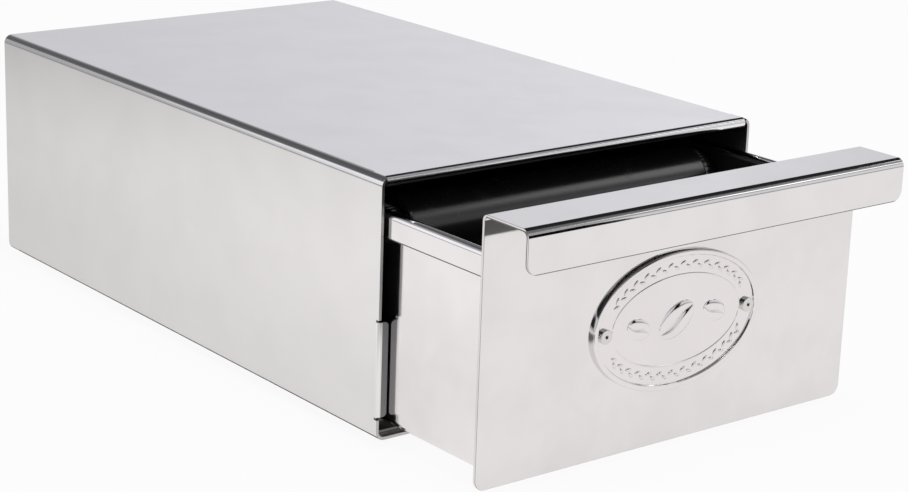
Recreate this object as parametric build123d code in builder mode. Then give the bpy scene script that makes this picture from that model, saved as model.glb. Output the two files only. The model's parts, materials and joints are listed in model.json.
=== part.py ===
# Coffee knock drawer: a folded stainless casing with a sliding tray, a bent front panel with a handle lip,
# an oval badge plate and a rubber sleeved knock bar across the tray.
# Millimetres. X runs to the right, Y to the back, Z up. The origin is on the counter, in the middle of the
# whole drawer's footprint as it stands with the tray part open, which is how it is drawn here.
import os

from build123d import *

os.makedirs("parts", exist_ok=True)

# Sheet metal
sheet = 1.2
casing_bend = 3.8
touch_gap = 0.3
corner_ease = 0.2

# Casing
casing_width = 190.0
casing_depth = 298.0
casing_height = 104.0
bottom_flange_width = 30.0
hem_height = 4.2
hem_return = 9.0
hem_end_inset = 2.6
hem_slit = 0.4
tab_gap = 0.65
tab_bottom = 9.5
tab_height = 38.0
tab_bend = 1.7
tab_slit = 1.0
back_recess = 3.0
back_flange = 8.0
back_flange_inset = 6.0
base_front_inset = 4.0

# Feet
foot_height = 3.0
foot_radius = 8.0
foot_side_inset = 16.0
foot_end_inset = 22.0
foot_chamfer = 0.6

# Glide strips and rear bumpers
glide_thickness = 2.9
glide_width = 10.0
glide_from_wall = 4.5
glide_end_inset = 8.0
glide_edge = 0.5
bumper_head_radius = 6.0
bumper_head_length = 8.0
bumper_neck_radius = 2.9
bumper_barb_radius = 4.2
bumper_barb_length = 2.2
bumper_barb_slope = 25
bumper_edge = 1.0
bumper_side_inset = 35.0
bumper_height = 42.0
bumper_hole_gap = 0.1

# Drawer movement: how far it stands open as drawn, the gap left when shut, and the whole travel
drawer_opening = 60.5
panel_gap = 0.6
drawer_travel = 190.0

# Tray
tray_side_gap = 5.25
rim_height = 90.5
rim_flat = 0.1
rim_drop = 10.0
rim_inner_bend = 0.3
rim_outer_bend = 1.25
floor_bend = 2.0
tail_hole_gap = 0.3

# Black sound deadening liner inside the tray
liner_thickness = 1.6
liner_gap = 0.2
liner_corner = 4.1
liner_below_rim = 2.2
liner_hole_gap = 0.2

# Front panel and handle
panel_low = 0.3
panel_height = 104.7
handle_depth = 24.0
lip_height = 16.8
handle_rear_bend = 2.5
handle_front_bend = 3.3
panel_corner = 4.5
lip_corner = 4.5

# Badge
badge_width = 85.0
badge_height = 55.0
badge_centre_height = 49.5
badge_thickness = 0.9
badge_rim_width = 2.2
badge_rim_rise = 0.9
badge_rim_round = 0.4
badge_ring_inset = 9.4
badge_ring_width = 0.6
badge_ring_rise = 0.2
rivet_inset = 5.9
rivet_head_radius = 2.85
rivet_head_height = 1.4
rivet_head_round = 0.3
rivet_dimple_radius = 0.75
rivet_dimple_depth = 0.6
rivet_radius = 1.4
rivet_tail_radius = 2.3
rivet_tail_height = 0.8
rivet_hole_gap = 0.1

# Knock bar
bar_behind_panel = 78.0
bar_below_rim = 14.0
rod_radius = 7.0
sleeve_radius = 14.0
sleeve_end_round = 1.5
sleeve_fit = 0.05
collar_radius = 11.5
collar_length = 10.0
collar_groove_width = 1.0
collar_groove_depth = 0.5
bar_screw_radius = 3.0
bar_screw_depth = 14.0
bar_screw_fit = 0.05
bar_screw_hole_gap = 0.3
bar_screw_head_radius = 5.5
bar_screw_head_height = 1.2
bar_screw_head_round = 0.5
bar_screw_socket = 4.0
bar_screw_socket_depth = 0.8
rod_bore_depth = 16.0

# Stop studs on the tray's sides, behind the casing's front tabs when the drawer is right out
stop_radius = 4.0
stop_below_tab = 4.5
stop_side_gap = 1.8
stop_edge = 0.5

# Places worked out from the sizes above
half_casing = casing_width / 2
reach = drawer_opening + handle_depth
casing_front = (reach - casing_depth) / 2
casing_rear = casing_front + casing_depth
casing_bottom = foot_height
casing_top = casing_bottom + casing_height
casing_inner_x = half_casing - sheet
casing_inner_bend = casing_bend - sheet
base_top = casing_bottom + 2 * sheet
back_rear_face = casing_rear - back_recess
back_front_face = back_rear_face - sheet
glide_top = base_top + glide_thickness
bumper_face = back_front_face - bumper_head_length
bumper_z = casing_bottom + bumper_height
bumper_spacing = casing_width - 2 * bumper_side_inset

panel_face = casing_front - drawer_opening
panel_rear = panel_face + sheet
closing_travel = casing_front - panel_gap - panel_rear
opening_travel = drawer_travel - closing_travel
tray_bottom = glide_top + touch_gap
floor_top = tray_bottom + sheet
rim_top = casing_bottom + rim_height
wall_outer_x = half_casing - tray_side_gap
wall_inner_x = wall_outer_x - sheet
rim_wall_round = rim_inner_bend + sheet
rim_edge_round = rim_outer_bend + sheet
rim_outer_x = wall_inner_x + rim_wall_round + rim_flat + rim_edge_round
tray_rear = bumper_face - touch_gap - closing_travel
tray_length = tray_rear - panel_rear
back_wall_front = tray_rear - sheet
liner_half = wall_inner_x - liner_gap
liner_front = panel_rear + sheet + liner_gap
liner_rear = back_wall_front - liner_gap
liner_top = rim_top - liner_below_rim
panel_bottom = casing_bottom + panel_low
panel_top = panel_bottom + panel_height

bar_y = panel_face + bar_behind_panel
bar_z = rim_top - bar_below_rim
badge_z = casing_bottom + badge_centre_height
rivet_spacing = badge_width - 2 * rivet_inset
tab_z = casing_bottom + tab_bottom
tab_inner_x = wall_outer_x + tab_gap
stop_y = casing_front + sheet + touch_gap + stop_radius + opening_travel
stop_z = tab_z + tab_height - stop_below_tab
stop_length = casing_inner_x - stop_side_gap - wall_outer_x
sides = (("left", -1), ("right", 1))


def at_y(y):
    """Upright plane facing the front, at the depth y."""
    return Plane.XZ.offset(-y)


def save(piece, name):
    piece.part.label = name
    export_step(piece.part, "parts/" + name + ".step")


# Casing shell: top, sides and bottom return flanges from one sheet
with BuildPart() as casing_shell:
    with BuildSketch(at_y(casing_front)):
        with BuildLine():
            FilletPolyline(
                (bottom_flange_width - half_casing, casing_bottom),
                (-half_casing, casing_bottom),
                (-half_casing, casing_top),
                (half_casing, casing_top),
                (half_casing, casing_bottom),
                (half_casing - bottom_flange_width, casing_bottom),
                radius=casing_bend,
            )
            offset(amount=sheet, side=Side.RIGHT)
        make_face()
    extrude(amount=-casing_depth)

    # Room for the hem, which is folded from the top alone, with a slit at each end
    hem_radius = hem_height / 2
    hem_half = half_casing - hem_end_inset
    with BuildSketch(at_y(casing_front)):
        with Locations((0, casing_top)):
            Rectangle(2 * (hem_half + hem_slit), 2 * hem_height)
    extrude(amount=-hem_radius, mode=Mode.SUBTRACT)

    # Hem: the top's front edge folded round and back under it
    with BuildSketch(Plane.YZ.offset(-hem_half)):
        with BuildLine():
            fold_start = (casing_front + hem_radius, casing_top)
            fold_nose = (casing_front, casing_top - hem_radius)
            fold_end = (casing_front + hem_radius, casing_top - hem_height)
            Line((casing_front + hem_return, casing_top), fold_start)
            ThreePointArc(fold_start, fold_nose, fold_end)
            Line(fold_end, (casing_front + hem_return, casing_top - hem_height))
            offset(amount=sheet, side=Side.LEFT)
        make_face()
    extrude(amount=2 * hem_half)

    # Inward tab low on each front side edge, with a slit above and below it
    for side in (-1, 1):
        with BuildSketch(Plane.XY.offset(tab_z - tab_slit)):
            with Locations((side * half_casing, casing_front)):
                Rectangle(2 * casing_bend, 2 * tab_bend)
        extrude(amount=tab_height + 2 * tab_slit, mode=Mode.SUBTRACT)
    for side in (-1, 1):
        with BuildSketch(Plane.XY.offset(tab_z)):
            with BuildLine():
                FilletPolyline(
                    (side * half_casing, casing_front + 2 * tab_bend),
                    (side * half_casing, casing_front),
                    (side * tab_inner_x, casing_front),
                    radius=tab_bend,
                )
                offset(amount=sheet, side=Side.LEFT if side < 0 else Side.RIGHT)
            make_face()
        extrude(amount=tab_height)
        tab_end = casing_shell.faces().filter_by(Axis.X).filter_by_position(
            Axis.X, side * tab_inner_x - touch_gap, side * tab_inner_x + touch_gap
        )
        fillet(tab_end.edges().filter_by(Axis.Y), radius=tab_bend)
save(casing_shell, "casing_shell")

# Base plate, welded on top of the bottom flanges
base_half = half_casing - casing_bend - corner_ease
base_length = back_front_face - casing_front - base_front_inset
with BuildPart() as base_plate:
    with BuildSketch(Plane.XY.offset(casing_bottom + sheet)):
        with Locations((0, casing_front + base_front_inset + base_length / 2)):
            Rectangle(2 * base_half, base_length)
    extrude(amount=sheet)
save(base_plate, "base_plate")

# Back panel, set a little inside the shell's rear edge, with a welding flange on each side
with BuildPart() as casing_back:
    back_height = casing_height - 2 * sheet
    with BuildSketch(at_y(back_front_face)):
        with Locations((0, casing_bottom + casing_height / 2)):
            RectangleRounded(2 * casing_inner_x, back_height, casing_inner_bend + corner_ease)
        with Locations((0, bumper_z)), GridLocations(bumper_spacing, 0, 2, 1):
            Circle(bumper_neck_radius + bumper_hole_gap, mode=Mode.SUBTRACT)
    extrude(amount=-sheet)
    with BuildSketch(Plane.XY.offset(casing_bottom + sheet + back_flange_inset)):
        for side in (-1, 1):
            with Locations((side * (casing_inner_x - sheet / 2), back_rear_face - back_flange / 2)):
                Rectangle(sheet, back_flange)
    extrude(amount=back_height - 2 * back_flange_inset)
save(casing_back, "casing_back")

# Rear bumpers pushed into the back panel, which the tray meets when it is shut
for name, side in sides:
    with BuildPart() as rear_bumper:
        bumper_x = side * bumper_spacing / 2
        with BuildSketch(at_y(bumper_face)):
            with Locations((bumper_x, bumper_z)):
                Circle(bumper_head_radius)
        extrude(amount=-bumper_head_length)
        fillet(rear_bumper.edges().filter_by(GeomType.CIRCLE).group_by(Axis.Y)[0], radius=bumper_edge)
        with BuildSketch(at_y(back_front_face)):
            with Locations((bumper_x, bumper_z)):
                Circle(bumper_neck_radius)
        extrude(amount=-sheet)
        with BuildSketch(at_y(back_rear_face)):
            with Locations((bumper_x, bumper_z)):
                Circle(bumper_barb_radius)
        extrude(amount=-bumper_barb_length, taper=bumper_barb_slope)
    save(rear_bumper, "rear_bumper_" + name)

# Glide strips on the base plate, under the tray's side edges
glide_x = wall_outer_x - glide_from_wall - glide_width / 2
glide_length = base_length - 2 * glide_end_inset
for name, side in sides:
    with BuildPart() as glide_strip:
        with BuildSketch(Plane.XY.offset(base_top)):
            with Locations((side * glide_x, casing_front + base_front_inset + base_length / 2)):
                Rectangle(glide_width, glide_length)
        extrude(amount=glide_thickness)
        chamfer(glide_strip.faces().sort_by(Axis.Z)[-1].edges(), length=glide_edge)
    save(glide_strip, "glide_strip_" + name)

# Rubber feet stuck under the bottom flanges
foot_rows = (("front", casing_front + foot_end_inset), ("rear", casing_rear - foot_end_inset))
for row, foot_y in foot_rows:
    for name, side in sides:
        with BuildPart() as foot:
            with BuildSketch(Plane.XY):
                with Locations((side * (half_casing - foot_side_inset), foot_y)):
                    Circle(foot_radius)
            extrude(amount=foot_height)
            chamfer(foot.edges().filter_by(GeomType.CIRCLE).group_by(Axis.Z)[0], length=foot_chamfer)
        save(foot, "foot_" + row + "_" + name)

# Tray: floor, side walls and the rims turned outwards and down, from one sheet
with BuildPart() as drawer_tray:
    rim_low = rim_top - rim_drop
    with BuildSketch(at_y(panel_rear)):
        with BuildLine():
            FilletPolyline(
                (-rim_outer_x, rim_low),
                (-rim_outer_x, rim_top),
                (-wall_inner_x, rim_top),
                (-wall_inner_x, floor_top),
                (wall_inner_x, floor_top),
                (wall_inner_x, rim_top),
                (rim_outer_x, rim_top),
                (rim_outer_x, rim_low),
                radius=[rim_edge_round, rim_wall_round, floor_bend, floor_bend, rim_wall_round, rim_edge_round],
            )
            offset(amount=sheet, side=Side.RIGHT)
        make_face()
    extrude(amount=-tray_length)
    # Holes for the knock bar's screws
    with BuildSketch(Plane.YZ.offset(-wall_outer_x)):
        with Locations((bar_y, bar_z)):
            Circle(bar_screw_radius + bar_screw_hole_gap)
    extrude(amount=2 * wall_outer_x, mode=Mode.SUBTRACT)
save(drawer_tray, "drawer_tray")


def end_wall(wall_face, tail_holes):
    """Tray end plate from wall_face backwards, rounded below to sit in the tray's floor bends."""
    wall_height = rim_top - floor_top
    with BuildPart() as wall:
        with BuildSketch(at_y(wall_face)) as outline:
            with Locations((0, floor_top + wall_height / 2)):
                Rectangle(2 * wall_inner_x, wall_height)
            fillet(outline.vertices().group_by(Axis.Y)[0], radius=floor_bend + corner_ease)
            if tail_holes:
                with Locations((0, badge_z)), GridLocations(rivet_spacing, 0, 2, 1):
                    Circle(rivet_tail_radius + tail_hole_gap, mode=Mode.SUBTRACT)
        extrude(amount=-sheet)
    return wall


# Tray front wall, welded behind the panel, with holes for the tails of the badge rivets
drawer_front_wall = end_wall(panel_rear, True)
save(drawer_front_wall, "drawer_front_wall")

# Tray back wall
drawer_back_wall = end_wall(back_wall_front, False)
save(drawer_back_wall, "drawer_back_wall")

# Liner: a black tub that fills the tray, with a hole each side for the knock bar's rod
with BuildPart() as tray_liner:
    liner_length = liner_rear - liner_front
    with BuildSketch(Plane.XY.offset(floor_top)):
        with Locations((0, liner_front + liner_length / 2)):
            RectangleRounded(2 * liner_half, liner_length, liner_corner)
    extrude(amount=liner_top - floor_top)
    fillet(tray_liner.edges().group_by(Axis.Z)[0], radius=liner_corner)
    offset(amount=-liner_thickness, openings=tray_liner.faces().sort_by(Axis.Z)[-1])
    with BuildSketch(Plane.YZ.offset(-liner_half)):
        with Locations((bar_y, bar_z)):
            Circle(rod_radius + liner_hole_gap)
    extrude(amount=2 * liner_half, mode=Mode.SUBTRACT)
save(tray_liner, "tray_liner")

# Front panel and handle from one sheet
with BuildPart() as front_panel:
    with BuildSketch(Plane.YZ.offset(-half_casing)):
        with BuildLine():
            FilletPolyline(
                (panel_rear, panel_bottom),
                (panel_rear, panel_top),
                (panel_face - handle_depth, panel_top),
                (panel_face - handle_depth, panel_top - lip_height),
                radius=[handle_rear_bend, handle_front_bend],
            )
            offset(amount=sheet, side=Side.LEFT)
        make_face()
    extrude(amount=casing_width)
    upright_edges = front_panel.edges().filter_by(Axis.Y)
    fillet(upright_edges.group_by(Axis.Z)[0], radius=panel_corner)
    lip_edges = front_panel.edges().filter_by(Axis.Y).group_by(Axis.Y)[0].group_by(Axis.Z)[0]
    fillet(lip_edges, radius=lip_corner)
    with BuildSketch(at_y(panel_face)):
        with Locations((0, badge_z)), GridLocations(rivet_spacing, 0, 2, 1):
            Circle(rivet_radius + rivet_hole_gap)
    extrude(amount=-sheet, mode=Mode.SUBTRACT)
save(front_panel, "front_panel")

# Badge plate: an oval with a raised rounded rim and an inner raised ring
with BuildPart() as badge_plate:
    half_w = badge_width / 2
    half_h = badge_height / 2
    with BuildSketch(at_y(panel_face)):
        with Locations((0, badge_z)):
            Ellipse(half_w, half_h)
    extrude(amount=badge_thickness)
    with BuildSketch(at_y(panel_face - badge_thickness)):
        with Locations((0, badge_z)):
            Ellipse(half_w, half_h)
            Ellipse(half_w - badge_rim_width, half_h - badge_rim_width, mode=Mode.SUBTRACT)
    extrude(amount=badge_rim_rise)
    fillet(badge_plate.faces().sort_by(Axis.Y)[0].edges(), radius=badge_rim_round)
    with BuildSketch(at_y(panel_face - badge_thickness)):
        with Locations((0, badge_z)):
            ring_w = half_w - badge_ring_inset
            ring_h = half_h - badge_ring_inset
            Ellipse(ring_w, ring_h)
            Ellipse(ring_w - badge_ring_width, ring_h - badge_ring_width, mode=Mode.SUBTRACT)
    extrude(amount=badge_ring_rise)
    with BuildSketch(at_y(panel_face)):
        with Locations((0, badge_z)), GridLocations(rivet_spacing, 0, 2, 1):
            Circle(rivet_radius + rivet_hole_gap)
    extrude(amount=badge_thickness + badge_ring_rise, mode=Mode.SUBTRACT)
save(badge_plate, "badge_plate")

# Badge rivets, with a dimpled head in front and a flat tail behind the panel
with BuildPart() as badge_rivets:
    rivet_seat = panel_face - badge_thickness
    with BuildSketch(at_y(rivet_seat)):
        with Locations((0, badge_z)), GridLocations(rivet_spacing, 0, 2, 1):
            Circle(rivet_head_radius)
    extrude(amount=rivet_head_height)
    fillet(badge_rivets.edges().filter_by(GeomType.CIRCLE).group_by(Axis.Y)[0], radius=rivet_head_round)
    with BuildSketch(at_y(rivet_seat - rivet_head_height)):
        with Locations((0, badge_z)), GridLocations(rivet_spacing, 0, 2, 1):
            Circle(rivet_dimple_radius)
    extrude(amount=-rivet_dimple_depth, mode=Mode.SUBTRACT)
    with BuildSketch(at_y(rivet_seat)):
        with Locations((0, badge_z)), GridLocations(rivet_spacing, 0, 2, 1):
            Circle(rivet_radius)
    extrude(amount=-(badge_thickness + sheet))
    with BuildSketch(at_y(panel_rear)):
        with Locations((0, badge_z)), GridLocations(rivet_spacing, 0, 2, 1):
            Circle(rivet_tail_radius)
    extrude(amount=-rivet_tail_height)
save(badge_rivets, "badge_rivets")

# Knock bar rod, with a threaded bore in each end
with BuildPart() as bar_rod:
    with BuildSketch(Plane.YZ.offset(-wall_inner_x)):
        with Locations((bar_y, bar_z)):
            Circle(rod_radius)
    extrude(amount=2 * wall_inner_x)
    for side in (-1, 1):
        with BuildSketch(Plane.YZ.offset(side * wall_inner_x)):
            with Locations((bar_y, bar_z)):
                Circle(bar_screw_radius + bar_screw_fit)
        extrude(amount=-side * rod_bore_depth, mode=Mode.SUBTRACT)
save(bar_rod, "bar_rod")

# Rubber sleeve on the rod
sleeve_half = liner_half - liner_thickness - collar_length
with BuildPart() as bar_sleeve:
    with BuildSketch(Plane.YZ.offset(-sleeve_half)):
        with Locations((bar_y, bar_z)):
            Circle(sleeve_radius)
            Circle(rod_radius + sleeve_fit, mode=Mode.SUBTRACT)
    extrude(amount=2 * sleeve_half)
    end_edges = bar_sleeve.edges().filter_by(GeomType.CIRCLE).sort_by(SortBy.RADIUS)[-2:]
    fillet(end_edges, radius=sleeve_end_round)
save(bar_sleeve, "bar_sleeve")

# Grooved steel collar between each end of the sleeve and the liner
for name, side in sides:
    with BuildPart() as bar_collar:
        with BuildSketch(Plane.YZ.offset(side * sleeve_half)):
            with Locations((bar_y, bar_z)):
                Circle(collar_radius)
                Circle(rod_radius + sleeve_fit, mode=Mode.SUBTRACT)
        extrude(amount=side * collar_length)
        groove_start = sleeve_half + (collar_length - collar_groove_width) / 2
        with BuildSketch(Plane.YZ.offset(side * groove_start)):
            with Locations((bar_y, bar_z)):
                Circle(collar_radius)
                Circle(collar_radius - collar_groove_depth, mode=Mode.SUBTRACT)
        extrude(amount=side * collar_groove_width, mode=Mode.SUBTRACT)
    save(bar_collar, "bar_collar_" + name)

# Low head screws through the tray walls into the rod
with BuildPart() as bar_screws:
    for side in (-1, 1):
        with BuildSketch(Plane.YZ.offset(side * wall_outer_x)):
            with Locations((bar_y, bar_z)):
                Circle(bar_screw_head_radius)
        extrude(amount=side * bar_screw_head_height)
    fillet(bar_screws.edges().filter_by(GeomType.CIRCLE).sort_by(Axis.X)[0], radius=bar_screw_head_round)
    fillet(bar_screws.edges().filter_by(GeomType.CIRCLE).sort_by(Axis.X)[-1], radius=bar_screw_head_round)
    for side in (-1, 1):
        with BuildSketch(Plane.YZ.offset(side * (wall_outer_x + bar_screw_head_height))):
            with Locations((bar_y, bar_z)):
                RegularPolygon(bar_screw_socket / 2, 6, major_radius=False)
        extrude(amount=-side * bar_screw_socket_depth, mode=Mode.SUBTRACT)
        with BuildSketch(Plane.YZ.offset(side * wall_outer_x)):
            with Locations((bar_y, bar_z)):
                Circle(bar_screw_radius)
        extrude(amount=-side * (sheet + bar_screw_depth))
save(bar_screws, "bar_screws")

# Stop studs welded to the outside of the tray walls
with BuildPart() as stop_studs:
    for side in (-1, 1):
        with BuildSketch(Plane.YZ.offset(side * wall_outer_x)):
            with Locations((stop_y, stop_z)):
                Circle(stop_radius)
        extrude(amount=side * stop_length)
    chamfer(stop_studs.edges().filter_by(GeomType.CIRCLE).sort_by(Axis.X)[0], length=stop_edge)
    chamfer(stop_studs.edges().filter_by(GeomType.CIRCLE).sort_by(Axis.X)[-1], length=stop_edge)
save(stop_studs, "stop_studs")

print("closing travel", round(closing_travel, 3), "opening travel", round(opening_travel, 3))
print("casing front y", round(casing_front, 3), "tray rear y", round(tray_rear, 3), "bar y", round(bar_y, 3))
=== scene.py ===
import json
import math

import bmesh
import bpy
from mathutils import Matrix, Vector

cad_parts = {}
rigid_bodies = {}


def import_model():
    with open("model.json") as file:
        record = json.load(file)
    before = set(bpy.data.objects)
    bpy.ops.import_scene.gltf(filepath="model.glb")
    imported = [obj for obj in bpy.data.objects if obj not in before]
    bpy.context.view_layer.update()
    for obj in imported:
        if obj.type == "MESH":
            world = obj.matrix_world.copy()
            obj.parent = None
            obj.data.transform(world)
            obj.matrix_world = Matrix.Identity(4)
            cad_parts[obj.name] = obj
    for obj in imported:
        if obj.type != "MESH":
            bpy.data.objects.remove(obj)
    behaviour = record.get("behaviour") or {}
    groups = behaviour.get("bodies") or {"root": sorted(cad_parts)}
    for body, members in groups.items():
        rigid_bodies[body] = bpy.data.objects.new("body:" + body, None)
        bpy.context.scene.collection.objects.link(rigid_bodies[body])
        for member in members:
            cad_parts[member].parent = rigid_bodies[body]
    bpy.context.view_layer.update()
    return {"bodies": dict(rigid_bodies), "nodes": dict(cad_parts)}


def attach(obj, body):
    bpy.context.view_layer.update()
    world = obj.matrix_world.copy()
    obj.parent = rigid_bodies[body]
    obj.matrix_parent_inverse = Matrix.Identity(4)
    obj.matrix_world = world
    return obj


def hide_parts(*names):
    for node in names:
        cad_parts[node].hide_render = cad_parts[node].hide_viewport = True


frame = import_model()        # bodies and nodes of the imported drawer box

nodes = frame["nodes"]
mm = 0.001


# Shader maths: one wrapped output, so that sums and products of values read as plain Python
class Flow:
    def __init__(self, book, socket):
        self.book = book
        self.socket = socket

    def worked(self, operation, first, second):
        return self.book.node("ShaderNodeMath", {"operation": operation}, {0: first, 1: second})

    def __add__(self, other):
        return self.worked("ADD", self, other)

    def __radd__(self, other):
        return self.worked("ADD", other, self)

    def __sub__(self, other):
        return self.worked("SUBTRACT", self, other)

    def __rsub__(self, other):
        return self.worked("SUBTRACT", other, self)

    def __mul__(self, other):
        return self.worked("MULTIPLY", self, other)

    def __rmul__(self, other):
        return self.worked("MULTIPLY", other, self)

    def __gt__(self, other):
        return self.worked("GREATER_THAN", self, other)

    def __lt__(self, other):
        return self.worked("LESS_THAN", self, other)


# A node tree that starts empty. node() adds any node, and the short methods below it add common ones.
class Recipe:
    def __init__(self, tree):
        self.tree = tree
        tree.nodes.clear()

    def node(self, kind, settings=None, values=None, output=0):
        made = self.tree.nodes.new(kind)
        for name, setting in (settings or {}).items():
            if name == "stops":
                ramp = made.color_ramp
                while len(ramp.elements) < len(setting):
                    ramp.elements.new(0.5)
                for element, (place, shade) in zip(ramp.elements, setting):
                    element.position = place
                    element.color = (shade, shade, shade, 1)
            else:
                setattr(made, name, setting)
        for name, value in (values or {}).items():
            self.feed(made.inputs[name], value)
        return Flow(self, made.outputs[output]) if made.outputs else None

    def feed(self, socket, value):
        if isinstance(value, Flow):
            self.tree.links.new(value.socket, socket)
        elif hasattr(socket.default_value, "__len__") and len(value) < len(socket.default_value):
            socket.default_value = (*value, 1)
        else:
            socket.default_value = value

    def ramped(self, value, low, high, atLow=0.0, atHigh=1.0):
        return self.node("ShaderNodeMapRange", {"interpolation_type": "SMOOTHSTEP"},
                         {0: value, 1: low, 2: high, 3: atLow, 4: atHigh})

    def mixed(self, share, first, second):
        return self.node("ShaderNodeMix", {"data_type": "RGBA"}, {0: share, 6: first, 7: second}, 2)

    def noise(self, place, scale, detail, roughness):
        return self.node("ShaderNodeTexNoise", values={0: place, 2: scale, 3: detail, 4: roughness})

    def unsigned(self, value):
        return self.node("ShaderNodeMath", {"operation": "ABSOLUTE"}, {0: value})

    def angle(self, rise, run):
        return self.node("ShaderNodeMath", {"operation": "ARCTAN2"}, {0: rise, 1: run})

    def axes(self, vector):
        split = self.node("ShaderNodeSeparateXYZ", values={0: vector}).socket.node
        return [Flow(self, part) for part in split.outputs]

    def vector(self, x=0.0, y=0.0, z=0.0):
        return self.node("ShaderNodeCombineXYZ", values={0: x, 1: y, 2: z})

    def distance(self, place, spot):
        return self.node("ShaderNodeVectorMath", {"operation": "DISTANCE"}, {0: place, 1: (*spot, 0)}, 1)


def newMaterial(name):
    material = bpy.data.materials.new(name)
    material.use_nodes = True
    return material, Recipe(material.node_tree)


def placed(name, data):
    thing = bpy.data.objects.new(name, data)
    bpy.context.scene.collection.objects.link(thing)
    return thing


# Stainless sheet. Noise is given as scale, detail and roughness, and depths are in metres.
sheetFinish = {
    "lines": (900.0, 4.0, 0.6), "lineRough": 0.05, "lineRelief": 0.05, "lineDepth": 0.00002,
    "specks": (310.0, 2.0, 0.5), "speckShare": 0.5,
    "waves": (15.0, 1.0, 0.4), "waveDepth": 0.02,
    # cloudy patches: the noise at which they begin and are full, and what they do to colour and gloss
    "clouds": (40.0, 3.0, 0.55), "cloudFrom": 0.36, "cloudFull": 0.66,
    "cloudTint": 0.93, "cloudColour": 10, "cloudRough": 0.5,
    "dullRough": 0.28,
}


# grain scales the fine lines' coordinates, and a small number draws the lines out along that axis. drift
# is the slow waviness of thin sheet, and cloud the strength of its cloudy patches. dull(book, x, y, z) is
# 1 where the sheet is rougher and darkened with painted shade, and there it has the shade tint times its
# colour.
def polishedSteel(name, tint, rough, grain=(1, 1, 1), drift=0.02, cloud=0.03, dull=None, paintedShadeTint=1.0):
    finish = sheetFinish
    material, book = newMaterial(name)
    place = book.node("ShaderNodeTexCoord", output=3)
    stretched = book.node("ShaderNodeMapping", values={0: place, 3: grain})
    lines = book.noise(stretched, *finish["lines"])
    clouds = book.noise(place, *finish["clouds"])
    waves = book.noise(place, *finish["waves"])
    specks = book.noise(place, *finish["specks"])
    smudge = book.ramped(clouds, finish["cloudFrom"], finish["cloudFull"])
    base = book.mixed(smudge * cloud * finish["cloudColour"], tint, [c * finish["cloudTint"] for c in tint])
    roughness = rough + (lines - 0.5) * finish["lineRough"] + smudge * cloud * finish["cloudRough"]
    if dull:
        # painted shade: the mask multiplies the colour by the shade tint
        dullShadeMask = dull(book, *book.axes(place))
        base = book.mixed(dullShadeMask, base, [c * paintedShadeTint for c in tint])
        roughness = roughness + dullShadeMask * finish["dullRough"]
    wavy = book.node("ShaderNodeBump", values={
        "Strength": drift, "Distance": finish["waveDepth"], "Height": waves})
    relief = book.node("ShaderNodeBump", values={
        "Strength": finish["lineRelief"], "Distance": finish["lineDepth"],
        "Height": lines + specks * finish["speckShare"], "Normal": wavy})
    shader = book.node("ShaderNodeBsdfPrincipled", values={
        "Base Color": base, "Metallic": 1.0, "Roughness": roughness, "Normal": relief})
    book.node("ShaderNodeOutputMaterial", values={0: shader})
    return material


# Moulded rubber and plastic: a fine pebble, and broad paler spots where it was rubbed
rubberFinish = {
    "pebbles": (1400.0, 3.0, 0.6), "pebbleRough": 0.05, "relief": 0.35,
    "spots": (70.0, 4.0, 0.6), "spotRelief": 0.6, "wornFrom": 0.52, "wornFull": 0.72,
    "wornTint": 2.2, "wornRough": 0.12,
}


def mouldedRubber(name, tint, rough, pebble, rub=0.25, shine=0.5):
    finish = rubberFinish
    material, book = newMaterial(name)
    place = book.node("ShaderNodeTexCoord", output=3)
    pebbles = book.noise(place, *finish["pebbles"])
    spots = book.noise(place, *finish["spots"])
    worn = book.ramped(spots, finish["wornFrom"], finish["wornFull"])
    base = book.mixed(worn * rub, tint, [c * finish["wornTint"] for c in tint])
    relief = book.node("ShaderNodeBump", values={
        "Strength": finish["relief"], "Distance": pebble,
        "Height": pebbles + spots * finish["spotRelief"]})
    shader = book.node("ShaderNodeBsdfPrincipled", values={
        "Base Color": base, "Specular IOR Level": shine, "Normal": relief,
        "Roughness": rough + worn * finish["wornRough"] - pebbles * finish["pebbleRough"]})
    book.node("ShaderNodeOutputMaterial", values={0: shader})
    return material


# Where the steel is rougher and darkened with painted shade or painted shadow lines, in metres. across
# counts from the middle plane to either side, and front and rear are places along Y.
dullShadeZones = {
    "inside": {"across": 0.0943, "front": -0.1064, "bottom": 0.0036, "top": 0.1063},
    "tabs": {"across": 0.0932, "rear": -0.1063, "bottom": 0.0110, "top": 0.0515},
    "grip": {"front": -0.1906, "rear": -0.1679, "top": 0.1073},
    "lipShadowLine": {"rear": -0.1910, "top": 0.09155},
    "rimShadowZone": {"across": 0.0912, "top": 0.0840},
    "rivetHole": {"across": 0.0366, "height": 0.0525, "radius": 0.00065},
}


def insideCasingShade(book, x, y, z):
    # between the walls and under the top: rougher faces, with painted shade for the dark inside of the casing
    zone = dullShadeZones["inside"]
    walls = book.unsigned(x) < zone["across"]
    return walls * (y > zone["front"]) * (z < zone["top"]) * (z > zone["bottom"])


def insideAndTabsShade(book, x, y, z):
    # painted shade: the front tabs beside the drawer are as rough and as dark as the inside
    zone = dullShadeZones["tabs"]
    between = book.unsigned(x) < zone["across"]
    tabs = between * (y < zone["rear"]) * (z > zone["bottom"]) * (z < zone["top"])
    return insideCasingShade(book, x, y, z) + tabs


def underHandleShade(book, x, y, z):
    # painted shade behind the lip and below the grip, and a painted shadow line along the lip's lower edge
    grip, cut = dullShadeZones["grip"], dullShadeZones["lipShadowLine"]
    behind = (y > grip["front"]) * (y < grip["rear"]) * (z < grip["top"])
    return behind + (y < cut["rear"]) * (z < cut["top"])


def rimShadowLine(book, x, y, z):
    # a painted shadow line along the lower edge of the tray's folded rim
    zone = dullShadeZones["rimShadowZone"]
    return (book.unsigned(x) > zone["across"]) * (z < zone["top"])


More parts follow.
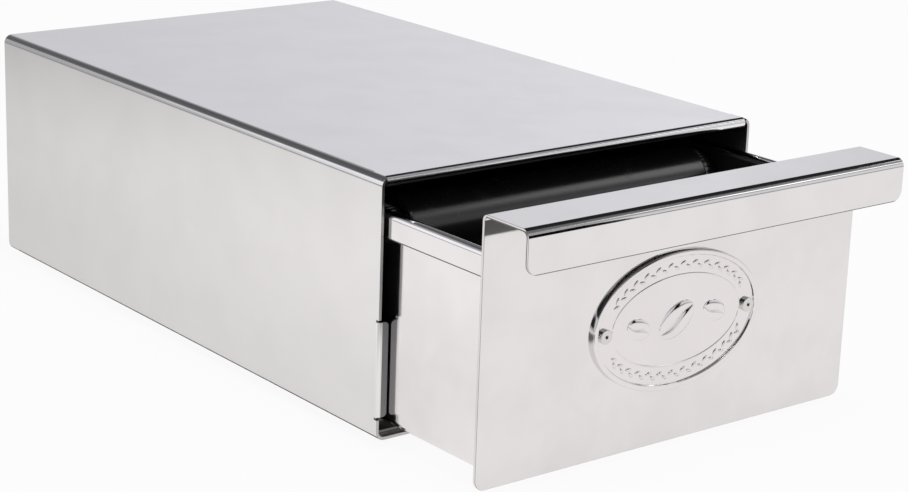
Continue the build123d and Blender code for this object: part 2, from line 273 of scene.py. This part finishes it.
def rivetDimpleShade(book, x, y, z):
    # painted shade inside the small dimple in the middle of each rivet head
    hole = dullShadeZones["rivetHole"]
    facing = book.vector(book.unsigned(x), z)
    return book.distance(facing, (hole["across"], hole["height"])) < hole["radius"]


steelLooks = {
    "casing_polished": {"tint": (0.88, 0.88, 0.88), "rough": 0.13, "grain": (1, 0.05, 1),
                        "dull": insideAndTabsShade, "paintedShadeTint": 0.3},
    "casing_mill_finish": {"tint": (0.88, 0.88, 0.88), "rough": 0.24, "grain": (0.05, 1, 1),
                           "cloud": 0.05, "dull": insideCasingShade, "paintedShadeTint": 0.25},
    "panel_mirror": {"tint": (0.80, 0.795, 0.79), "rough": 0.06, "grain": (0.05, 1, 1),
                     "drift": 0.01, "cloud": 0.055, "dull": underHandleShade, "paintedShadeTint": 0.25},
    "cut_edge": {"tint": (0.58, 0.575, 0.57), "rough": 0.30, "drift": 0.0},
    # painted shade: the rounded corners are far darker than the steel, for dark lines along the edges
    "deburred_corner_shaded": {"tint": (0.20, 0.195, 0.19), "rough": 0.40, "drift": 0.0},
    "rivet_bright": {"tint": (0.70, 0.69, 0.68), "rough": 0.14, "drift": 0.0,
                     "dull": rivetDimpleShade, "paintedShadeTint": 0.05},
    "tray_polished": {"tint": (0.92, 0.91, 0.91), "rough": 0.09, "grain": (1, 0.05, 1),
                      "cloud": 0.06, "dull": rimShadowLine, "paintedShadeTint": 0.2},
    "badge_struck": {"tint": (0.80, 0.79, 0.785), "rough": 0.08, "drift": 0.004},
    # painted shade: the collars' steel is darkened to the dimness inside the drawer
    "collar_turned_shaded": {"tint": (0.22, 0.215, 0.215), "rough": 0.33, "grain": (1, 0.1, 0.1), "drift": 0.0},
    "fastener_bright": {"tint": (0.70, 0.69, 0.68), "rough": 0.16, "drift": 0.0},
}
# The depth of the pebble is in metres
rubberLooks = {
    "sleeve_rubber": {"tint": (0.014, 0.013, 0.013), "rough": 0.25, "pebble": 0.00003, "shine": 0.85},
    "liner_black": {"tint": (0.012, 0.010, 0.011), "rough": 0.55, "pebble": 0.00004, "rub": 0.15},
    "foot_rubber": {"tint": (0.018, 0.018, 0.018), "rough": 0.6, "pebble": 0.00008},
    "glide_plastic": {"tint": (0.62, 0.61, 0.58), "rough": 0.38, "pebble": 0.00002, "rub": 0.05},
}
looks = {name: polishedSteel(name, **values) for name, values in steelLooks.items()}
looks.update({name: mouldedRubber(name, **values) for name, values in rubberLooks.items()})
print("materials ready")


def finished(name, mesh, body, nodeName):
    piece = placed(name, mesh)
    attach(piece, body)
    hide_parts(nodeName)


# Cut sheet: lengths in millimetres, angles in degrees
sheetEdges = {
    "merge": 0.002, "flat": 0.6,              # points nearer than this are one, and flatter edges go
    "cutCorner": 60, "cutWide": 1.3,          # a cut face has only sharper corners and is narrower
    "roundOver": 38, "segments": 2,           # edges sharper than this are rounded
    "flatWeight": 100,                        # how fully the broad faces set the shading beside them
}


# A long narrow face between sharp corners is where the sheet was cut
def isCut(face):
    corner = math.radians(sheetEdges["cutCorner"])
    sharp = all(len(e.link_faces) == 2 and e.calc_face_angle() > corner for e in face.edges)
    return sharp and 2 * face.calc_area() / face.calc_perimeter() < sheetEdges["cutWide"] * mm


# Cut sheet has a fine deburred edge: the node's own mesh, merged, with every hard edge rounded by so
# many millimetres. The cut faces are duller than the sheet, and the rounded corners are darkened with painted
# shade, which draws dark lines along the edges.
def softEdged(nodeName, pieceName, look, edge=0.16, edgeLooks=("cut_edge", "deburred_corner_shaded")):
    source = nodes[nodeName]
    work = bmesh.new()
    work.from_mesh(source.data)
    bmesh.ops.remove_doubles(work, verts=work.verts, dist=sheetEdges["merge"] * mm)
    bmesh.ops.dissolve_limit(
        work, angle_limit=math.radians(sheetEdges["flat"]), verts=work.verts, edges=work.edges)
    bmesh.ops.recalc_face_normals(work, faces=work.faces)
    for face in work.faces:
        face.smooth = True
        face.material_index = 1 if isCut(face) else 0
    rough = bpy.data.meshes.new(pieceName + "_rough")
    work.to_mesh(rough)
    work.free()
    for name in (look, *edgeLooks):
        rough.materials.append(looks[name])
    holder = placed(pieceName + "_rough", rough)
    bevel = holder.modifiers.new("edge", "BEVEL")
    bevel.limit_method = "ANGLE"
    bevel.angle_limit = math.radians(sheetEdges["roundOver"])
    bevel.width = edge * mm
    bevel.segments = sheetEdges["segments"]
    bevel.use_clamp_overlap = True
    bevel.material = 2        # the rounded corners take the last of the three looks
    level = holder.modifiers.new("flat faces stay flat", "WEIGHTED_NORMAL")
    level.mode = "FACE_AREA"
    level.weight = sheetEdges["flatWeight"]
    mesh = bpy.data.meshes.new_from_object(holder.evaluated_get(bpy.context.evaluated_depsgraph_get()))
    bpy.data.objects.remove(holder)
    body = next(name for name, empty in frame["bodies"].items() if source.parent == empty)
    finished(pieceName, mesh, body, nodeName)


softEdged("casing_shell", "casing_sheet", "casing_polished", edge=0.22)
softEdged("casing_back", "casing_back_sheet", "casing_mill_finish")
softEdged("base_plate", "base_sheet", "casing_mill_finish")
softEdged("front_panel", "panel_sheet", "panel_mirror", edge=0.35)
softEdged("drawer_tray", "tray_sheet", "tray_polished", edge=0.45)
softEdged("drawer_front_wall", "tray_front_sheet", "tray_polished")
softEdged("drawer_back_wall", "tray_back_sheet", "tray_polished")
softEdged("tray_liner", "liner_moulding", "liner_black", edge=0.4,
          edgeLooks=("liner_black", "liner_black"))
print("sheet pieces ready")


# A geometry tree with named inputs: its geometry comes first and its material last
def newTree(name, sizes):
    tree = bpy.data.node_groups.new(name, "GeometryNodeTree")
    tree.interface.new_socket("Geometry", in_out="INPUT", socket_type="NodeSocketGeometry")
    tree.interface.new_socket("Geometry", in_out="OUTPUT", socket_type="NodeSocketGeometry")
    for title in sizes:
        kind = {"Count": "NodeSocketInt", "Material": "NodeSocketMaterial"}.get(title, "NodeSocketFloat")
        tree.interface.new_socket(title, in_out="INPUT", socket_type=kind)
    book = Recipe(tree)
    entry = tree.nodes.new("NodeGroupInput")
    return tree, book, {socket.name: Flow(book, socket) for socket in entry.outputs if socket.name}


# What has grown is smooth, and joins the geometry that the tree was given, which keeps its own edges
def finishTree(book, given, grown):
    smooth = book.node("GeometryNodeSetShadeSmooth", values={"Geometry": grown})
    join = book.tree.nodes.new("GeometryNodeJoinGeometry")
    for part in (smooth, given["Geometry"]):
        book.feed(join.inputs[0], part)
    real = book.node("GeometryNodeRealizeInstances", values={0: Flow(book, join.outputs[0])})
    dressed = book.node("GeometryNodeSetMaterial", values={"Geometry": real, "Material": given["Material"]})
    book.node("NodeGroupOutput", values={0: dressed})


# The tree's result as a plain mesh. Its inputs are set by identifier before the first evaluation.
def grow(name, mesh, tree, values):
    holder = placed(name + "_grown", mesh)
    grower = holder.modifiers.new("grown", "NODES")
    grower.node_group = tree
    for item in tree.interface.items_tree:
        if item.in_out == "INPUT" and item.name in values:
            grower[item.identifier] = values[item.name]
    result = bpy.data.meshes.new_from_object(holder.evaluated_get(bpy.context.evaluated_depsgraph_get()))
    holder.modifiers.remove(grower)
    bpy.data.objects.remove(holder)
    return result


# Badge: lengths in millimetres, angles in degrees. Its back lies on the panel's face, and height is that
# of its middle.
badge = {
    "back": -167.25, "height": 52.5, "halfWide": 42.5, "halfHigh": 27.5, "around": 160,
    # profile from the edge to the middle: how far in from the edge, how far out from the panel
    "profile": ((0, 0), (0, 1.3), (0.08, 1.55), (0.22, 1.72), (0.42, 1.8), (1.85, 1.8), (2.05, 1.74),
                (2.2, 1.5), (2.35, 1.05), (2.5, 0.92), (2.65, 0.9), (2.75, 0.9), (9.3, 0.9), (9.38, 0.9),
                (9.46, 1.02), (9.6, 1.1), (9.8, 1.1), (9.94, 1.02), (10.02, 0.9), (10.1, 0.9), (16, 0.9)),
    # wreath of small leaves, which ends this far from the middle so that the rivets stay clear
    "leaves": 74, "wreathEnd": 33.5, "leafInset": 5.9, "leafApart": 0.8, "leafTilt": 27,
    "leafLong": 1.55, "leafWide": 0.62, "leafRise": 0.42, "leafFacets": (8, 6),
}
field = badge["profile"][-1][1]        # how far the badge's flat middle stands out from the panel


# Leaves along an ellipse in the XZ plane, turned with it and tilted to either side in turn
def wreathTree():
    tree, book, given = newTree("leaf_wreath", (
        "Count", "Half Wide", "Half High", "Height", "Front", "End", "Leaf Long", "Leaf Wide", "Leaf Rise",
        "Tilt", "Apart", "Material"))
    halfWide, halfHigh = given["Half Wide"], given["Half High"]
    ring = book.node("GeometryNodeMeshCircle", values={"Vertices": given["Count"], "Radius": 1.0})
    x, y, z = book.axes(book.node("GeometryNodeInputPosition"))
    index = book.node("GeometryNodeInputIndex")
    side = 1 - 2 * book.node("ShaderNodeMath", {"operation": "MODULO"}, {0: index, 1: 2.0})
    shift = side * given["Apart"]
    spot = book.vector(x * (halfWide + shift), given["Front"], y * (halfHigh + shift) + given["Height"])
    ring = book.node("GeometryNodeSetPosition", values={"Geometry": ring, "Position": spot})
    ring = book.node("GeometryNodeDeleteGeometry", {"domain": "POINT"}, {
        "Geometry": ring, "Selection": book.unsigned(x) > given["End"]})
    lean = book.angle(x * halfHigh * halfHigh, (given["Height"] - z) * halfWide * halfWide)
    segments, rings = badge["leafFacets"]
    leaf = book.node("GeometryNodeMeshUVSphere", values={"Segments": segments, "Rings": rings, "Radius": 1.0})
    leaf = book.node("GeometryNodeTransform", values={
        "Geometry": leaf, "Scale": book.vector(given["Leaf Long"], given["Leaf Rise"], given["Leaf Wide"])})
    grown = book.node("GeometryNodeInstanceOnPoints", values={
        "Points": ring, "Instance": leaf, "Rotation": book.vector(y=side * given["Tilt"] - lean)})
    finishTree(book, given, grown)
    return tree


def ellipseRing(work, inset, out):
    ring = []
    for i in range(badge["around"]):
        turn = 2 * math.pi * i / badge["around"]
        ring.append(work.verts.new((
            (badge["halfWide"] - inset) * math.cos(turn) * mm, (badge["back"] - out) * mm,
            (badge["height"] + (badge["halfHigh"] - inset) * math.sin(turn)) * mm)))
    return ring


def skin(work, first, second):
    for i in range(len(first)):
        j = (i + 1) % len(first)
        work.faces.new((first[i], first[j], second[j], second[i]))


# Coffee beans on the badge: lengths in millimetres, lanes and the slot as shares of half the bean's width
beans = {
    # across, up, half length, half width, rise, turn in degrees
    "spots": ((0, 0, 9.6, 6.3, 0.9, 32), (-19.5, -0.5, 6.2, 4.2, 0.75, -24),
              (19.5, 0.5, 6.2, 4.2, 0.75, -24)),
    "steps": 16, "lanes": (0, 0.08, 0.15, 0.32, 0.55, 0.78, 0.93, 1), "bow": 0.16, "sunk": 0.05,
    # the slot's half width, its depth as a share of the rise, how deep its flanks go, and how late it ends
    "slotWide": 0.1, "slotDeep": 0.55, "slotFlank": 0.75, "slotEnd": 6,
}


# One bean lies on the plate: a dome with a bent slot down its middle
def addBean(work, across, up, long, wide, rise, turn):
    steps = beans["steps"]
    lanes = [-lane for lane in reversed(beans["lanes"][1:])] + list(beans["lanes"])
    cosTurn, sinTurn = math.cos(math.radians(turn)), math.sin(math.radians(turn))
    rows = []
    for i in range(steps + 1):
        step = math.sin(math.pi * (i / steps - 0.5))
        row = []
        for lane in lanes:
            bent = lane + beans["bow"] * math.sin(math.pi * step) * (1 - abs(lane))
            height = rise * math.sqrt((1 - step * step) * (1 - lane * lane)) - beans["sunk"]
            if abs(lane) < beans["slotWide"]:
                flank = 1 if lane == 0 else beans["slotFlank"]
                height -= rise * beans["slotDeep"] * (1 - step ** beans["slotEnd"]) * flank
            along, aside = long * step, wide * bent * math.sqrt(1 - step * step)
            row.append(work.verts.new((
                (across + along * cosTurn - aside * sinTurn) * mm, (badge["back"] - field - height) * mm,
                (badge["height"] + up + along * sinTurn + aside * cosTurn) * mm)))
        rows.append(row)
    for one, two in zip(rows, rows[1:]):
        for i in range(len(lanes) - 1):
            work.faces.new((one[i], two[i], two[i + 1], one[i + 1]))


def buildBadge():
    work = bmesh.new()
    rings = [ellipseRing(work, *stage) for stage in badge["profile"]]
    for one, two in zip(rings, rings[1:]):
        skin(work, one, two)
    work.faces.new(rings[-1])
    work.faces.new(list(reversed(rings[0])))
    for spot in beans["spots"]:
        addBean(work, *spot)
    for face in work.faces:
        face.smooth = True
    for point in rings[0]:        # only the outline of the back stays a sharp corner
        for edge in point.link_edges:
            edge.smooth = edge.other_vert(point) not in rings[0]
    plate = bpy.data.meshes.new("badge_blank")
    work.to_mesh(plate)
    work.free()
    mesh = grow("badge", plate, wreathTree(), {
        "Count": badge["leaves"], "Half Wide": (badge["halfWide"] - badge["leafInset"]) * mm,
        "Half High": (badge["halfHigh"] - badge["leafInset"]) * mm, "Height": badge["height"] * mm,
        "Front": (badge["back"] - field) * mm, "End": badge["wreathEnd"] * mm,
        "Leaf Long": badge["leafLong"] * mm, "Leaf Wide": badge["leafWide"] * mm,
        "Leaf Rise": badge["leafRise"] * mm, "Tilt": math.radians(badge["leafTilt"]),
        "Apart": badge["leafApart"] * mm, "Material": looks["badge_struck"]})
    finished("badge_struck_plate", mesh, "drawer", "badge_plate")


# Collar at either end of the knock bar: lengths in millimetres, angles in degrees
collar = {
    "inner": 76.75, "axis": (-89.25, 79.5), "around": 64, "sharpOver": 50,
    # profile: how far out from the sleeve's end, radius
    "profile": ((0, 7.2), (0, 10.7), (0.35, 11.1), (6.2, 11.1), (6.6, 10.7), (6.7, 9.3), (9.6, 9.3),
                (10.0, 8.9), (10.0, 7.2)),
    "ridges": 40, "ridgeRadius": 11.1, "ridgeAt": 3.3, "ridgeLong": 4.9, "ridgeDeep": 0.7, "ridgeWide": 0.8,
}


# Ridges along X, set round an axis that runs along X
def ridgeTree():
    tree, book, given = newTree("ridge_ring", (
        "Count", "Radius", "Along", "Axis Y", "Axis Z", "Long", "Deep", "Wide", "Material"))
    ring = book.node("GeometryNodeMeshCircle", values={"Vertices": given["Count"], "Radius": given["Radius"]})
    x, y, z = book.axes(book.node("GeometryNodeInputPosition"))
    spot = book.vector(given["Along"], x + given["Axis Y"], y + given["Axis Z"])
    ring = book.node("GeometryNodeSetPosition", values={"Geometry": ring, "Position": spot})
    lean = book.angle(z - given["Axis Z"], y - given["Axis Y"])
    ridge = book.node("GeometryNodeMeshCube", values={
        0: book.vector(given["Long"], given["Deep"], given["Wide"])})
    grown = book.node("GeometryNodeInstanceOnPoints", values={
        "Points": ring, "Instance": ridge, "Rotation": book.vector(lean)})
    finishTree(book, given, grown)
    return tree


def buildCollar(side, nodeName, pieceName, tree):
    work = bmesh.new()
    rings = []
    axisY, axisZ = collar["axis"]
    for out, radius in collar["profile"]:
        ring = []
        for i in range(collar["around"]):
            turn = side * 2 * math.pi * i / collar["around"]
            ring.append(work.verts.new((
                side * (collar["inner"] + out) * mm, (axisY + radius * math.cos(turn)) * mm,
                (axisZ + radius * math.sin(turn)) * mm)))
        rings.append(ring)
    for one, two in zip(rings, rings[1:] + rings[:1]):
        skin(work, one, two)
    bmesh.ops.recalc_face_normals(work, faces=work.faces)
    for face in work.faces:
        face.smooth = True
    for edge in work.edges:
        edge.smooth = edge.calc_face_angle(0) < math.radians(collar["sharpOver"])
    blank = bpy.data.meshes.new(pieceName + "_blank")
    work.to_mesh(blank)
    work.free()
    mesh = grow(pieceName, blank, tree, {
        "Count": collar["ridges"], "Radius": collar["ridgeRadius"] * mm,
        "Along": side * (collar["inner"] + collar["ridgeAt"]) * mm, "Axis Y": axisY * mm,
        "Axis Z": axisZ * mm, "Long": collar["ridgeLong"] * mm, "Deep": collar["ridgeDeep"] * mm,
        "Wide": collar["ridgeWide"] * mm, "Material": looks["collar_turned_shaded"]})
    finished(pieceName, mesh, "drawer", nodeName)


buildBadge()
ridges = ridgeTree()
buildCollar(-1, "bar_collar_left", "collar_turned_left", ridges)
buildCollar(1, "bar_collar_right", "collar_turned_right", ridges)
print("badge and collars ready")

# Small pieces keep the mesh of their node and only get a look
smallPieces = {
    "rivet_bright": ("badge_rivets",),
    "fastener_bright": ("bar_rod", "bar_screws", "stop_studs"),
    "sleeve_rubber": ("bar_sleeve",),
    "glide_plastic": ("glide_strip_left", "glide_strip_right"),
    "foot_rubber": ("rear_bumper_left", "rear_bumper_right", "foot_front_left", "foot_front_right",
                    "foot_rear_left", "foot_rear_right"),
}
for look, names in smallPieces.items():
    for nodeName in names:
        nodes[nodeName].material_slots[0].material = looks[look]
print("small pieces ready")


# A direction in degrees as seen from the drawer: azimuth 0 is along +X and 90 along +Y
def towards(azimuth, height):
    turn, rise = math.radians(azimuth), math.radians(height)
    return Vector((math.cos(turn) * math.cos(rise), math.sin(turn) * math.cos(rise), math.sin(rise)))


# A brightness that goes round with the azimuth, from -180 to 180 degrees
def roundTheRoom(book, x, y, stops):
    turn = book.angle(y, x) * (0.5 / math.pi) + 0.5
    return book.node("ShaderNodeValToRGB", {
        "stops": [((azimuth + 180) / 360, shade) for azimuth, shade in stops]}, {0: turn})


# The pale floor: lengths in metres, brightness where 1 is white
paperFloor = {
    "side": 14.0, "paper": (0.90, 0.89, 0.885), "seenGlow": 0.93,
    # as the polished steel mirrors it: even up to near, and following the horizon's azimuth beyond far
    "mirroredShare": 0.80, "mirrored": (1.0, 0.965, 0.957), "nearGlow": 1.02,
    "middle": (0.0, -0.10), "near": 0.45, "far": 1.25,
    "horizon": ((-180, 0.6), (-120, 0.5), (-55, 0.10), (-40, 0.45), (0, 0.8), (60, 0.9), (90, 0.6),
                (120, 0.30), (140, 0.30), (180, 0.6)),
    # painted shade: dimmer beside the casing's walls, out to wallFar from the middle and from wallFrom
    # backwards
    "besideWallShade": 0.18, "wallNear": 0.11, "wallFar": 0.25, "wallFrom": -0.20, "wallFull": -0.05,
    # dimmer towards the back
    "backwards": 0.24, "backFrom": -0.10, "backFull": 0.50,
    # dark spots, where the camera and its stand are mirrored: middle, inner and outer reach, level
    "spots": (((-0.32, -0.22), 0.08, 0.19, 0.42), ((-0.17, -0.33), 0.07, 0.13, 0.06)),
    # painted shadow right under the casing, where no light reaches the paper
    "under": {"across": 0.094, "front": -0.106, "rear": 0.190},
}


def buildFloor():
    half = paperFloor["side"] / 2
    mesh = bpy.data.meshes.new("studio_floor")
    mesh.from_pydata(
        [(-half, -half, 0), (half, -half, 0), (half, half, 0), (-half, half, 0)], [], [(0, 1, 2, 3)])
    floor = placed("studio_floor", mesh)
    material, book = newMaterial("studio_floor")
    place = book.node("ShaderNodeTexCoord", output=3)
    x, y = book.axes(place)[:2]
    across = book.unsigned(x)
    horizon = roundTheRoom(book, x, y, paperFloor["horizon"])
    away = book.ramped(book.distance(place, paperFloor["middle"]), paperFloor["near"], paperFloor["far"])
    glow = paperFloor["nearGlow"] + away * (horizon - paperFloor["nearGlow"])
    # painted shade beside the casing's walls
    beside = book.ramped(across, paperFloor["wallNear"], paperFloor["wallFar"], paperFloor["besideWallShade"], 0.0)
    beside = beside * book.ramped(y, paperFloor["wallFrom"], paperFloor["wallFull"])
    behind = book.ramped(y, paperFloor["backFrom"], paperFloor["backFull"]) * paperFloor["backwards"]
    glow = glow * (1 - beside) * (1 - behind)
    for middle, inner, outer, level in paperFloor["spots"]:
        glow = glow * (1 - book.ramped(book.distance(place, middle), inner, outer, 1.0, 0.0) * (1 - level))
    # painted shadow: no mirrored glow under the casing
    covered = paperFloor["under"]
    under = (across < covered["across"]) * (y < covered["rear"]) * (y > covered["front"])
    paper = book.node("ShaderNodeBsdfDiffuse", values={0: paperFloor["paper"]})
    bright = book.node("ShaderNodeEmission", values={0: (1, 1, 1), 1: 1.0})
    warm = book.node("ShaderNodeEmission", values={0: paperFloor["mirrored"], 1: glow * (1 - under)})
    seen = book.node("ShaderNodeLightPath", output=0)
    shiny = book.node("ShaderNodeLightPath", output=3)
    mirrored = book.node("ShaderNodeMixShader", values={
        0: shiny * paperFloor["mirroredShare"], 1: paper, 2: warm})
    both = book.node("ShaderNodeMixShader", values={0: seen * paperFloor["seenGlow"], 1: mirrored, 2: bright})
    book.node("ShaderNodeOutputMaterial", values={0: both})
    mesh.materials.append(material)


# The room: a low wall that follows the azimuth, a dim ceiling above it and a bright patch overhead. Where
# these begin and end is given as the sine of the height.
room = {
    "tint": (0.965, 0.955, 1.0), "ceiling": 0.40,
    "overhead": 0.95, "overheadFrom": 0.83, "overheadFull": 0.90,
    "wall": ((-180, 0.85), (-120, 0.85), (-64, 0.75), (-20, 0.85), (0, 0.88), (20, 0.85), (37, 0.68),
             (45, 0.84), (62, 0.67), (80, 0.45), (112, 0.38), (121, 0.42), (125, 0.46), (128.5, 1.0),
             (150, 0.90), (180, 0.85)),
    "wallFull": 0.325, "wallEnd": 0.375,
    # patches behind the low wall and in front of it: azimuth, height, reach, softness, level
    "corners": ((30, 40, 27, 3, 0.02), (86, 41, 15, 8, 0.10), (220, 42, 28, 3, 0.02)),
    "patches": ((130, 20, 9, 4, 1.0), (-131, 3, 15, 5, 0.02)),
}


def withPatch(book, aim, strength, azimuth, height, reach, softness, level):
    near = book.node("ShaderNodeVectorMath", {"operation": "DOT_PRODUCT"}, {
        0: aim, 1: towards(azimuth, height)}, 1)
    outside, inside = math.cos(math.radians(reach + softness)), math.cos(math.radians(reach - softness))
    return strength + book.ramped(near, outside, inside) * (level - strength)


def buildRoom():
    world = bpy.data.worlds.new("studio_room")
    bpy.context.scene.world = world
    world.use_nodes = True
    book = Recipe(world.node_tree)
    aim = book.node("ShaderNodeTexCoord", output=0)
    x, y, z = book.axes(aim)
    strength = room["ceiling"]
    for patch in room["corners"]:
        strength = withPatch(book, aim, strength, *patch)
    overhead = book.ramped(z, room["overheadFrom"], room["overheadFull"])
    strength = strength + overhead * (room["overhead"] - strength)
    wall = roundTheRoom(book, x, y, room["wall"])
    strength = strength + book.ramped(z, room["wallFull"], room["wallEnd"], 1.0, 0.0) * (wall - strength)
    for patch in room["patches"]:
        strength = withPatch(book, aim, strength, *patch)
    seen = book.node("ShaderNodeLightPath", output=0)
    cool = book.node("ShaderNodeBackground", values={0: room["tint"], 1: strength})
    white = book.node("ShaderNodeBackground", values={0: (1, 1, 1), 1: 1.0})
    both = book.node("ShaderNodeMixShader", values={0: seen, 1: cool, 2: white})
    book.node("ShaderNodeOutputWorld", values={0: both})


# A small black card beside the lens, which only the polished bend of the handle mirrors. In metres: where
# its distance starts, how far away it stands, its edges to either side of that line, and its heights.
card = {
    "from": (-0.085, -0.19), "azimuth": -49, "away": 0.6, "edges": (-0.10, 0.03), "heights": (0.02, 0.31),
    "black": (0.004, 0.004, 0.004),
}


def buildCard():
    away = towards(card["azimuth"], 0)
    left = Vector((-away.y, away.x, 0))
    foot = Vector((*card["from"], 0)) + away * card["away"]
    corners = [foot + left * edge + Vector((0, 0, height))
               for edge in card["edges"] for height in card["heights"]]
    mesh = bpy.data.meshes.new("black_card")
    mesh.from_pydata(corners, [], [(0, 1, 3, 2)])
    flag = placed("black_card", mesh)
    material, book = newMaterial("black_card")
    black = book.node("ShaderNodeBsdfDiffuse", values={0: card["black"]})
    book.node("ShaderNodeOutputMaterial", values={0: black})
    mesh.materials.append(material)
    for kind in ("camera", "diffuse", "transmission", "shadow"):
        setattr(flag, "visible_" + kind, False)


# Soft boxes: azimuth and height in degrees, distance, width and length in metres, power in watts. They
# face the aim, a place in metres.
softBoxes = {"box_right": (-23, 34, 1.8, 1.05, 0.47, 2.1), "box_overhead": (250, 74, 2.2, 1.2, 1.2, 16)}
lampAim = (0, -0.05, 0.1)


def softBox(name, azimuth, height, reach, width, length, watts):
    lamp = bpy.data.lights.new(name, "AREA")
    lamp.shape = "RECTANGLE"
    lamp.size = width
    lamp.size_y = length
    lamp.energy = watts
    box = placed(name, lamp)
    away = towards(azimuth, height)
    box.location = away * reach + Vector(lampAim)
    box.rotation_euler = away.to_track_quat("Z", "Y").to_euler()


buildFloor()
buildRoom()
buildCard()
for name, values in softBoxes.items():
    softBox(name, *values)

# The camera: places and distances in metres, its turn in degrees, its lens and sensor in millimetres
view = {"place": (-0.58023, -0.76135, 0.32528), "turn": (73.349, -1.898, -37.892), "lens": 90.862,
        "sensor": 36, "nearest": 0.01}
lens = bpy.data.cameras.new("photo_camera")
lens.lens = view["lens"]
lens.sensor_width = view["sensor"]
lens.clip_start = view["nearest"]
camera = placed("photo_camera", lens)
camera.location = view["place"]
camera.rotation_euler = [math.radians(a) for a in view["turn"]]
bpy.context.scene.camera = camera
bpy.context.scene.view_settings.view_transform = "Standard"

print("studio and camera ready")
